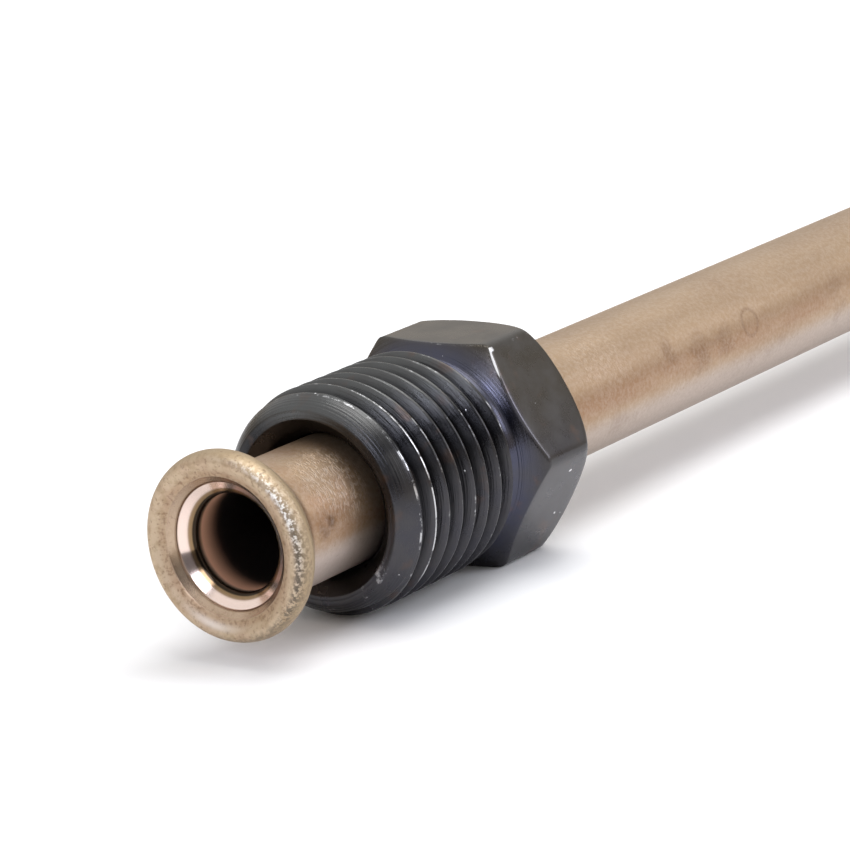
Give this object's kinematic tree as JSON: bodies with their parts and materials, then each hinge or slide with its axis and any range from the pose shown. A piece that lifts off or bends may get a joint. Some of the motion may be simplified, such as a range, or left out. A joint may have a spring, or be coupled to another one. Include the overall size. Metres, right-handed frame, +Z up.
{
  "type": "brake line",
  "caption": "Short straight hydraulic brake line: a rigid double-flared tube with a loose hexagon tube nut at each end.",
  "frame": {"origin": "on the surface that the line lies on, below the middle of its length", "axes": "+X along the tube from the near flare to the far flare, +Z up, +Y to the left of +X"},
  "size_m": [0.2032, 0.0124, 0.011],
  "materials": {
    "tube_metal": "drawn copper-nickel, satin, with fine scratches and faint stains",
    "nut_steel": "turned steel with a worn black oxide finish"
  },
  "bodies": {
    "tube": {"double_flared_tube": "tube_metal"},
    "near_nut": {"near_tube_nut": "nut_steel"},
    "far_nut": {"far_tube_nut": "nut_steel"}
  },
  "joints": [
    {"name": "near_nut_slide", "type": "slide", "parent": "tube", "child": "near_nut", "axis": [1, 0, 0], "range_m": [-0.0054, 0.07]},
    {"name": "far_nut_slide", "type": "slide", "parent": "tube", "child": "far_nut", "axis": [-1, 0, 0], "range_m": [-0.0054, 0.07]}
  ]
}
